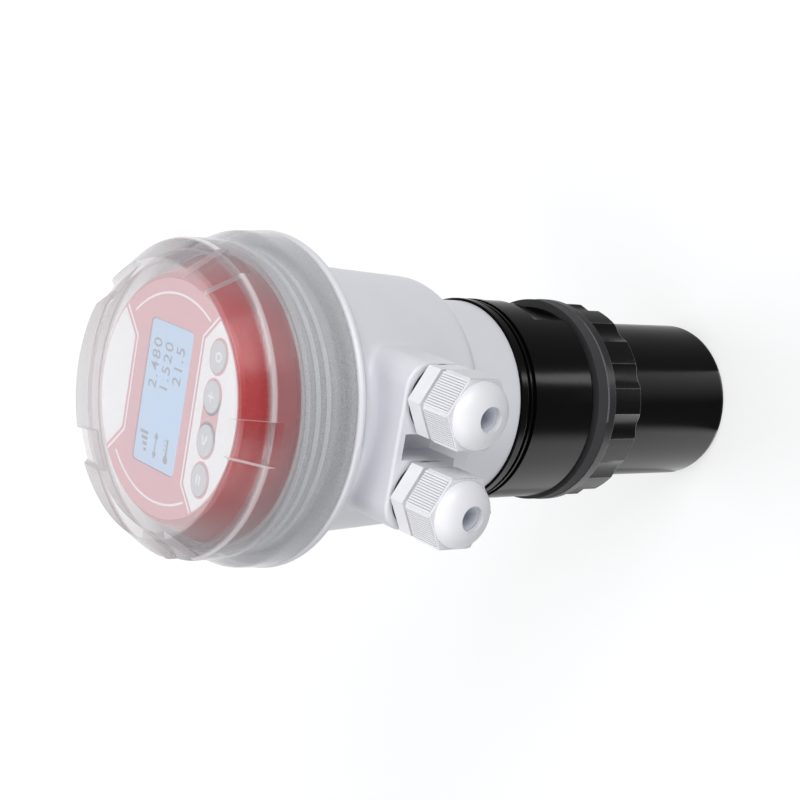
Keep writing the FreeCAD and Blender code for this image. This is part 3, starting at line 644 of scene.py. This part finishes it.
def helix(name, pitch, root_radius, height, root_width, low_z, turns):
    """Screw thread: a trapezoid carried round the Z axis. A negative height makes an inner thread."""
    piece = upright_square(name)
    edit(piece)
    bpy.ops.mesh.delete(type="ONLY_FACE")
    select_where(piece, lambda vertex: vertex.co.x > 0)
    bpy.ops.transform.resize(value=(1, 1, CREST_SHARE), center_override=(0, 0, 0))
    done()
    piece.scale = (height, 1, root_width)
    piece.location = (root_radius + height / 2, 0, low_z)
    settle(piece)
    steps = int(STEPS_PER_TURN * turns)
    apply_modifier(piece, "SCREW", {"axis": "Z", "angle": 2 * pi * turns, "screw_offset": pitch * turns,
                                    "steps": steps, "render_steps": steps})
    edit(piece)
    bpy.ops.mesh.select_all(action="DESELECT")
    bpy.ops.mesh.select_mode(type="EDGE")
    bpy.ops.mesh.select_non_manifold()
    bpy.ops.mesh.fill()
    bpy.ops.mesh.select_mode(type="VERT")
    face_outwards()
    return piece


class TRANSMITTER_OT_finishes(bpy.types.Operator):
    """Gives every solid of the frame its finish"""
    bl_idname = "transmitter.finishes"
    bl_label = "Finishes"

    def execute(self, context):
        for node, solid in NODES.items():
            for slot in solid.material_slots:
                slot.material = finish_for(SLOT_OF[node])
        return {"FINISHED"}


class TRANSMITTER_OT_threads(bpy.types.Operator):
    """Adds the ridges of the threads that the lid, the lock nut and the gland caps run on"""
    bl_idname = "transmitter.threads"
    bl_label = "Threads"

    def execute(self, context):
        size = sizes()
        mouth = helix("mouth_thread", size.thread_pitch, MOUTH_RADIUS - THREAD_SINK, size.thread_height,
                      size.thread_root, MOUTH_THREAD_LOW, size.thread_turns)
        hand_over(mouth, "housing", "white_housing")
        # The thread in the lid's bore runs half a pitch from the mouth's.
        lid = helix("lid_thread", size.thread_pitch, LID_BORE + THREAD_SINK, -size.lid_thread_height,
                    size.lid_thread_root, MOUTH_THREAD_LOW + size.thread_pitch / 2, size.thread_turns)
        hand_over(lid, "front_lid", "lid_thread")
        fine = size.fine_height + THREAD_SINK
        process = helix("process_thread", size.process_pitch, PROCESS_RADIUS - THREAD_SINK, fine,
                        FINE_ROOT_SHARE * size.process_pitch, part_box("lock_nut")[0].z + PROCESS_START,
                        size.process_turns)
        hand_over(process, "sensor_body", "black_polymer")
        for side in SIDES:
            node = "gland_body_" + side
            middle = node_middle(node)
            gland = helix("gland_thread_" + side, size.gland_pitch, GLAND_RADIUS - THREAD_SINK, fine,
                          FINE_ROOT_SHARE * size.gland_pitch, 0, size.gland_turns)
            gland.rotation_euler.x = pi / 2
            gland.location = (middle.x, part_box(node)[0].y + GLAND_RUN, middle.z)
            hand_over(settle(gland), node, "gland_nylon")
        return {"FINISHED"}


class TRANSMITTER_OT_gland_caps(bpy.types.Operator):
    """Puts fine ribs on the flats of both gland caps"""
    bl_idname = "transmitter.gland_caps"
    bl_label = "Ribbed gland caps"

    def execute(self, context):
        for side in SIDES:
            node = "gland_cap_" + side
            cap = solid_copy(node, "ribbed_cap_" + side)
            self.open_seam(node, cap)
            hand_over(join([cap] + self.ribs(node), "ribbed_cap_" + side), node, "gland_nylon", replace=True)
        return {"FINISHED"}

    def open_seam(self, node, cap):
        """Draws the cap's rear face back from the gland body, so that the seam between them shows."""
        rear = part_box(node)[1].y
        edit(cap)
        select_where(cap, lambda vertex: vertex.co.y > rear - SAME_PLANE)
        bpy.ops.transform.translate(value=(0, -sizes().cap_seam, 0))
        done()

    def ribs(self, node):
        """Ribs for the flats of one cap."""
        size = sizes()
        low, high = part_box(node)
        centre = node_middle(node)
        flat = (high.x - low.x) / 2
        run = CAP_HEXAGON - size.cap_seam - size.rib_margin
        middle_y = high.y - size.cap_seam - run / 2
        clear_selection()
        bpy.ops.mesh.primitive_cube_add(size=1, scale=(2 * size.rib_height, run, size.rib_width))
        rib = settle(named("rib"))
        edit(rib)
        select_where(rib, lambda vertex: vertex.co.x > 0)
        bpy.ops.transform.resize(value=(1, 1, RIB_TOP_SHARE), center_override=(0, 0, 0))
        done()
        rib.location = (flat, 0, -size.rib_pitch * (size.rib_count - 1) / 2)
        settle(rib)
        apply_modifier(rib, "ARRAY", {"count": size.rib_count, "use_relative_offset": False,
                                      "use_constant_offset": True,
                                      "constant_offset_displace": (0, 0, size.rib_pitch)})
        faces = []
        for turn in range(FLATS):
            copy = bpy.data.objects.new("rib_face", rib.data.copy())
            bpy.context.collection.objects.link(copy)
            copy.rotation_euler.y = 2 * pi * turn / FLATS
            settle(copy)
            copy.location = (centre.x, middle_y, centre.z)
            faces.append(settle(copy))
        bpy.data.objects.remove(rib)
        return faces


def key_ovals(grow, low_z, high_z):
    """Elliptical plugs over the four keys, larger than the keys by grow."""
    plugs = []
    inset = KEY_FLANGE - grow
    for node in KEY_NODES:
        low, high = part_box(node)
        clear_selection()
        bpy.ops.mesh.primitive_cylinder_add(vertices=72, radius=1, depth=high_z - low_z)
        plug = named("key_plug")
        plug.scale = ((high.x - low.x) / 2 - inset, (high.y - low.y) / 2 - inset, 1)
        middle = node_middle(node)
        plug.location = (middle.x, middle.y, (low_z + high_z) / 2)
        plugs.append(settle(plug))
    return plugs


def cut_key_holes(piece):
    """Opens a printed field where the keys come through."""
    for plug in key_ovals(KEY_GAP, LABEL_Z - 2 * MM, LABEL_Z + 2 * MM):
        apply_modifier(piece, "BOOLEAN", {"operation": "DIFFERENCE", "object": plug, "solver": "EXACT"})
        bpy.data.objects.remove(plug)


def printed_field(name, layer, cuts):
    """Part of a disc that lies behind each cut, given as a point and an outward normal."""
    size = sizes()
    clear_selection()
    bpy.ops.mesh.primitive_circle_add(vertices=240, radius=size.print_radius, fill_type="NGON",
                                      location=(0, 0, LABEL_Z + (layer - 1) * size.print_step))
    piece = settle(named(name))
    edit(piece)
    for point, normal in cuts:
        bpy.ops.mesh.select_all(action="SELECT")
        bpy.ops.mesh.bisect(plane_co=point + (0,), plane_no=normal + (0,), clear_outer=True)
    bpy.ops.mesh.select_all(action="SELECT")
    bpy.ops.mesh.extrude_region_move(TRANSFORM_OT_translate={"value": (0, 0, size.print_step)})
    face_outwards()
    return piece


def panel_cuts(edge_y, half, slant, grow):
    """The straight edge and the two slanting edges of a panel, moved outwards by grow."""
    way = copysign(1, edge_y)
    lean = radians(slant)
    normal = (sin(lean), -way * cos(lean))
    cuts = [((0, edge_y - way * grow), (0, -way))]
    for side in (1, -1):
        out = (side * normal[0], normal[1])
        cuts.append(((side * half + out[0] * grow, edge_y + out[1] * grow), out))
    return cuts


class TRANSMITTER_OT_face_print(bpy.types.Operator):
    """Prints the blank panel, the key panel, their border lines and the arcs on the face label"""
    bl_idname = "transmitter.face_print"
    bl_label = "Face print"

    SLANTS = {"key_panel": 42, "blank_panel": 43}
    ARCS = {"upper_arc": (-30, 76), "lower_arc": (134, 76)}

    def execute(self, context):
        size = sizes()
        edges = {"key_panel": (size.panel_y, size.panel_half), "blank_panel": (size.leaf_y, size.leaf_half)}
        for name, slant in self.SLANTS.items():
            for layer, (part, grow, finish) in enumerate((
                    ("_border", size.border_gap + size.border_line, "white_ink"),
                    ("_gap", size.border_gap, "label_film"),
                    ("", 0, "white_ink")), 1):
                piece = printed_field(name + part, layer, panel_cuts(*edges[name], slant, grow))
                cut_key_holes(piece)
                hand_over(piece, "face_label", finish)
        self.key_surrounds()
        for name, (start, sweep) in self.ARCS.items():
            self.arc(name, radians(start), radians(sweep))
        return {"FINISHED"}

    def key_surrounds(self):
        """Red outline round each key, and the red bar that joins the middle pair."""
        size = sizes()
        step = size.print_step
        low_z = LABEL_Z + 2 * step
        inner = [node_middle(node) for node in KEY_NODES[1:3]]
        clear_selection()
        bpy.ops.mesh.primitive_cube_add(size=1, scale=(inner[1].x - inner[0].x, size.key_bar, 2 * step),
                                        location=(0, inner[0].y, low_z + step))
        surrounds = {"key_bar": settle(named("key_bar"))}
        for count, plug in enumerate(key_ovals(size.key_outline, low_z, low_z + 2 * step), 1):
            surrounds["key_outline_%d" % count] = plug
        for name, piece in surrounds.items():
            piece.name = name
            cut_key_holes(piece)
            hand_over(piece, "face_label", "label_film")

    def arc(self, name, start, sweep):
        """Thin printed arc about the middle of the label."""
        size = sizes()
        piece = upright_square(name)
        piece.scale = (size.border_line, 1, size.print_step)
        piece.location = (size.arc_radius, 0, LABEL_Z + size.print_step / 2)
        settle(piece)
        piece.rotation_euler.z = start
        settle(piece)
        edit(piece)
        bpy.ops.mesh.spin(steps=48, angle=-sweep, center=(0, 0, 0), axis=(0, 0, 1))
        face_outwards()
        hand_over(piece, "face_label", "white_ink")


def lettering(name, words, height, place, align):
    """Words as a thin mesh, reading along +X and facing +Z."""
    clear_selection()
    bpy.ops.object.text_add()
    text = bpy.context.object.data
    text.body = words
    text.size = height / CAPITAL_SHARE
    text.space_character = 1.2
    text.offset = 0.01 * height
    text.align_x = align
    text.align_y = "CENTER"
    text.extrude = THIN / 2
    bpy.ops.object.convert(target="MESH")
    piece = named(name)
    piece.location = place
    settle(piece)
    edit(piece)
    bpy.ops.mesh.remove_doubles(threshold=0.0005 * MM)
    done()
    return piece


def plate(centre, width, depth):
    """Thin printed bar on the display; sizes in millimetres."""
    clear_selection()
    bpy.ops.mesh.primitive_cube_add(size=1, scale=(width * MM, depth * MM, THIN), location=centre)
    return settle(named("plate"))


def disc(centre, radius, corners, turn=0.0):
    """Thin printed disc or triangle on the display; radius in millimetres."""
    clear_selection()
    bpy.ops.mesh.primitive_cylinder_add(vertices=corners, radius=radius * MM, depth=THIN, location=centre,
                                        rotation=(0, 0, turn))
    return settle(named("disc"))


class TRANSMITTER_OT_readout(bpy.types.Operator):
    """Shows three rows of plain measured values, each with a small sign for what it measures"""
    bl_idname = "transmitter.readout"
    bl_label = "Readout"

    values: StringProperty(name="Values", description="Values of the three rows", default="2.480 1.520 21.5")

    def execute(self, context):
        size = sizes()
        low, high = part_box("display_window")
        signs = (self.level_sign, self.distance_sign, self.heat_sign)
        for row, (value, sign) in enumerate(zip(self.values.split(), signs)):
            y = high.y - ROW_FIRST - ROW_PITCH * row
            z = WINDOW_Z + THIN
            figures = lettering("readout_value", value, size.digit_height, (high.x - ROW_END, y, z), "RIGHT")
            pieces = [figures] + sign(Vector((low.x + SIGN_START, y, z)))
            hand_over(join(pieces, "readout_row_%d" % (row + 1)), "display_window", "segment")
        return {"FINISHED"}

    def level_sign(self, place):
        """Rising bars."""
        return [plate(place + Vector((step * 1.8 - 2.7, step * 0.5 - 1.0, 0)) * MM, 1.1, 1.4 + step)
                for step in range(4)]

    def distance_sign(self, place):
        """Arrow with a head at both ends."""
        reach = Vector((3.0, 0, 0)) * MM
        return [plate(place, 4.6, 0.6), disc(place + reach, 1.5, 3, -pi / 2),
                disc(place - reach, 1.5, 3, pi / 2)]

    def heat_sign(self, place):
        """Thermometer with its scale."""
        bulb = disc(place - Vector((3.0, 0, 0)) * MM, 1.3, 32)
        stem = plate(place + Vector((0.6, 0, 0)) * MM, 6, 0.9)
        return [bulb, stem] + [plate(place + Vector((x, 1.3, 0)) * MM, 0.45, 0.9) for x in (0, 1.5, 3)]


class TRANSMITTER_OT_key_marks(bpy.types.Operator):
    """Prints a plain sign on each key"""
    bl_idname = "transmitter.key_marks"
    bl_label = "Key marks"

    signs: StringProperty(name="Signs", description="Sign of each key", default="= < + o")

    def execute(self, context):
        for node, sign in zip(KEY_NODES, self.signs.split()):
            middle = node_middle(node)
            piece = lettering(node + "_mark", sign, sizes().key_mark_height,
                              (middle.x, middle.y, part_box(node)[1].z + MARK_LIFT), "CENTER")
            hand_over(piece, node, "key_mark")
        return {"FINISHED"}


class TRANSMITTER_OT_stage(bpy.types.Operator):
    """Sets up the floor, the soft lamps and the camera"""
    bl_idname = "transmitter.stage"
    bl_label = "Stage"

    # Name, metres from the target along the picture's right, up and depth, watts, and whether it is mirrored.
    LAMPS = (
        ("face_lamp", (-1.1, 0, 0.6), 10, False),
        ("side_lamp", (0, 0.8, -1.2), 13, True),
        ("low_lamp", (0, -1.0, -1.0), 6, True),
        ("top_lamp", (-0.95, 0, -0.8), 5, True),
    )
    # Name, metres toward the camera and up the picture, turn in degrees, sides in metres, glow, and fade.
    PANELS = (
        ("gloss_sheet", (0.039, -0.126), -36, (0.17, 0.17), 12, (14, 90, 0.1)),
        ("gloss_strip", (0.132, 0.05), 23, (0.085, 0.02), 26, None),
        ("tube_gloss", (0.068, -0.002), 42, (0.075, 0.075), 8, (2, 48, 0.0)),
    )
    LIT_GLANDS = ("ribbed_cap_left", "ribbed_cap_right", "gland_body_left", "gland_body_right")
    LIT_SLOTS = ("black_polymer", "black_nylon")
    GLAND_LAMP_WAY = Vector((-0.5, 0, 0.866))

    def execute(self, context):
        stage = context.scene.stage_settings
        context.scene.view_settings.view_transform = "Standard"
        self.floor(stage)
        self.world(context.scene, stage)
        right, up, ahead = self.view_axes(stage)
        self.camera(context.scene, stage, right, up, ahead)
        middle = Vector((0, 0, LAMP_MIDDLE))
        for name, (across, rise, depth), power, mirrored in self.LAMPS:
            place = middle + right * across + up * rise + ahead * depth
            self.lamp(name, place, middle, LAMP_SIDE, power).visible_glossy = mirrored
        glands = self.lit_parts(
            "gland_parts", [NODES.get(name) or bpy.data.objects[name] for name in self.LIT_GLANDS])
        caps = node_middle("gland_cap_left") * 0.5 + node_middle("gland_cap_right") * 0.5
        lamp = self.lamp("gland_lamp", caps + self.GLAND_LAMP_WAY * GLAND_LAMP_AWAY, caps,
                         GLAND_LAMP_SIDE, GLAND_LAMP_POWER)
        lamp.visible_glossy = False
        lamp.light_linking.receiver_collection = glands
        black = self.lit_parts(
            "black_parts", [NODES[node] for node, slot in SLOT_OF.items() if slot in self.LIT_SLOTS])
        near = Vector((-ahead.x, -ahead.y, 0)).normalized()
        for name, (toward, rise), turn, sides, glow, fade in self.PANELS:
            panel = self.gloss_panel(name, sides, glow, fade)
            place = near * toward + up * rise
            along = near * cos(radians(turn)) + up * sin(radians(turn))
            panel.location = (place.x, place.y, PANEL_HEIGHT)
            panel.rotation_euler = (pi, 0, atan2(along.y, along.x))
            panel.light_linking.receiver_collection = black
        return {"FINISHED"}

    def floor(self, stage):
        """Pale floor, whose glow hides its far edge."""
        clear_selection()
        bpy.ops.mesh.primitive_plane_add(size=stage.floor_size, location=(0, 0, -FLOOR_DROP))
        floor = named("studio_floor")
        made, add, shader, place = start_material(
            "pale_floor", {"Base Color": colours().floor, "Roughness": 0.8, "Specular IOR Level": 0.1,
                           "Emission Color": WHITE})
        away = add("VectorMath", {0: place}, operation="LENGTH").outputs["Value"]
        level = add("MapRange", {"Value": away, "From Min": GLOW_START, "From Max": GLOW_END,
                                 "To Min": GLOW_NEAR, "To Max": GLOW_FAR}, interpolation_type="SMOOTHSTEP")
        glow = add("Math", {0: self.seen_directly(add), 1: level}, operation="MULTIPLY")
        connect(shader, {"Emission Strength": glow})
        floor.data.materials.append(made)

    def seen_directly(self, add):
        """One for rays from the camera, mirrors and glass, and nought for the light that falls on the object."""
        path = add("LightPath").outputs
        mirrored = add("Math", {0: path["Is Camera Ray"], 1: path["Is Glossy Ray"]}, operation="MAXIMUM")
        return add("Math", {0: mirrored, 1: path["Is Transmission Ray"]}, operation="MAXIMUM")

    def world(self, scene, stage):
        """Even light from all round, which looks white where it is seen directly."""
        scene.world = bpy.data.worlds.new("studio_world")
        scene.world.use_nodes = True
        add = partial(add_node, scene.world.node_tree)
        level = add("Mix", {0: self.seen_directly(add), 2: stage.world_strength, 3: 1.0}, data_type="FLOAT")
        connect(scene.world.node_tree.nodes["Background"], {"Color": WHITE, "Strength": level})

    def view_axes(self, stage):
        """Directions of the picture in the object's frame: right, up and into the picture."""
        turn_sin, turn_cos = sin(stage.view_turn), cos(stage.view_turn)
        roll_sin, roll_cos = sin(stage.view_roll), cos(stage.view_roll)
        right = Vector((turn_sin * roll_sin, -turn_sin * roll_cos, -turn_cos))
        up = Vector((roll_cos, roll_sin, 0))
        ahead = Vector((-turn_cos * roll_sin, turn_cos * roll_cos, -turn_sin))
        return right, up, ahead

    def placed(self, name, data):
        """New object in the scene for a camera or a lamp."""
        made = bpy.data.objects.new(name, data)
        bpy.context.scene.collection.objects.link(made)
        return made

    def camera(self, scene, stage, right, up, ahead):
        data = bpy.data.cameras.new("photo_camera")
        data.lens = stage.lens
        data.sensor_width = SENSOR_WIDTH
        scene.camera = self.placed("photo_camera", data)
        place = right * stage.camera_side - ahead * stage.camera_back - up * stage.camera_drop
        turn = Matrix((right, up, -ahead)).transposed().to_4x4()
        scene.camera.matrix_world = Matrix.Translation(place) @ turn

    def lamp(self, name, place, target, side, power):
        """Square lamp that faces a target."""
        data = bpy.data.lights.new(name, "AREA")
        data.size = side
        data.energy = power
        lamp = self.placed(name, data)
        lamp.location = place
        lamp.rotation_euler = (target - place).to_track_quat("-Z", "Y").to_euler()
        return lamp

    def lit_parts(self, name, pieces):
        """Collection of the only pieces that a lamp lights."""
        lit = bpy.data.collections.new(name)
        for piece in pieces:
            lit.objects.link(piece)
        return lit

    def gloss_panel(self, name, sides, glow, fade):
        """Light panel that gives only a highlight. Its fade, round the first corner, is the angle over which it
        comes up, the angle where it has died down, and its level there."""
        data = bpy.data.lights.new(name, "AREA")
        data.shape = "RECTANGLE"
        data.size, data.size_y = sides
        data.energy = glow * pi * sides[0] * sides[1]
        if fade is not None:
            come_up, die_down, last = fade
            data.use_nodes = True
            add = partial(add_node, data.node_tree)
            spot = add("NewGeometry").outputs["Parametric"]
            split = add("SeparateXYZ", {0: spot}).outputs
            swing = add("Math", {0: split[1], 1: split[0]}, operation="ARCTAN2")
            rise = add("MapRange", {"Value": swing, "From Max": radians(come_up)})
            fall = add("MapRange", {"Value": swing, "From Max": radians(die_down), "To Min": 1.0, "To Max": last})
            level = add("Math", {0: rise, 1: fall}, operation="MULTIPLY")
            connect(data.node_tree.nodes["Emission"], {"Strength": level})
        panel = self.placed(name, data)
        panel.visible_camera = False
        panel.visible_diffuse = False
        return panel


PIECE_OPERATORS = (
    TRANSMITTER_OT_finishes,
    TRANSMITTER_OT_threads,
    TRANSMITTER_OT_gland_caps,
    TRANSMITTER_OT_face_print,
    TRANSMITTER_OT_readout,
    TRANSMITTER_OT_key_marks,
    TRANSMITTER_OT_stage,
)
SETTINGS = {
    "transmitter_sizes": TransmitterSizes,
    "transmitter_colours": TransmitterColours,
    "stage_settings": StageSettings,
}


class TRANSMITTER_PT_panel(bpy.types.Panel):
    """Lists the steps that dress the transmitter, and their settings"""
    bl_idname = "TRANSMITTER_PT_panel"
    bl_label = "Level transmitter"
    bl_space_type = "VIEW_3D"
    bl_region_type = "UI"
    bl_category = "Transmitter"

    def draw(self, context):
        for operator in PIECE_OPERATORS:
            self.layout.operator(operator.bl_idname)
        for name, group in SETTINGS.items():
            for setting in group.__annotations__:
                self.layout.prop(getattr(context.scene, name), setting)


CLASSES = tuple(SETTINGS.values()) + PIECE_OPERATORS + (TRANSMITTER_PT_panel,)


def register():
    for item in CLASSES:
        bpy.utils.register_class(item)
    for name, group in SETTINGS.items():
        setattr(bpy.types.Scene, name, PointerProperty(type=group))


def unregister():
    for name in SETTINGS:
        delattr(bpy.types.Scene, name)
    for item in reversed(CLASSES):
        bpy.utils.unregister_class(item)


def main():
    register()
    bpy.ops.transmitter.finishes()
    bpy.ops.transmitter.threads()
    bpy.ops.transmitter.gland_caps()
    bpy.ops.transmitter.face_print()
    bpy.ops.transmitter.readout()
    bpy.ops.transmitter.key_marks()
    bpy.ops.transmitter.stage()


if __name__ == "__main__":
    main()
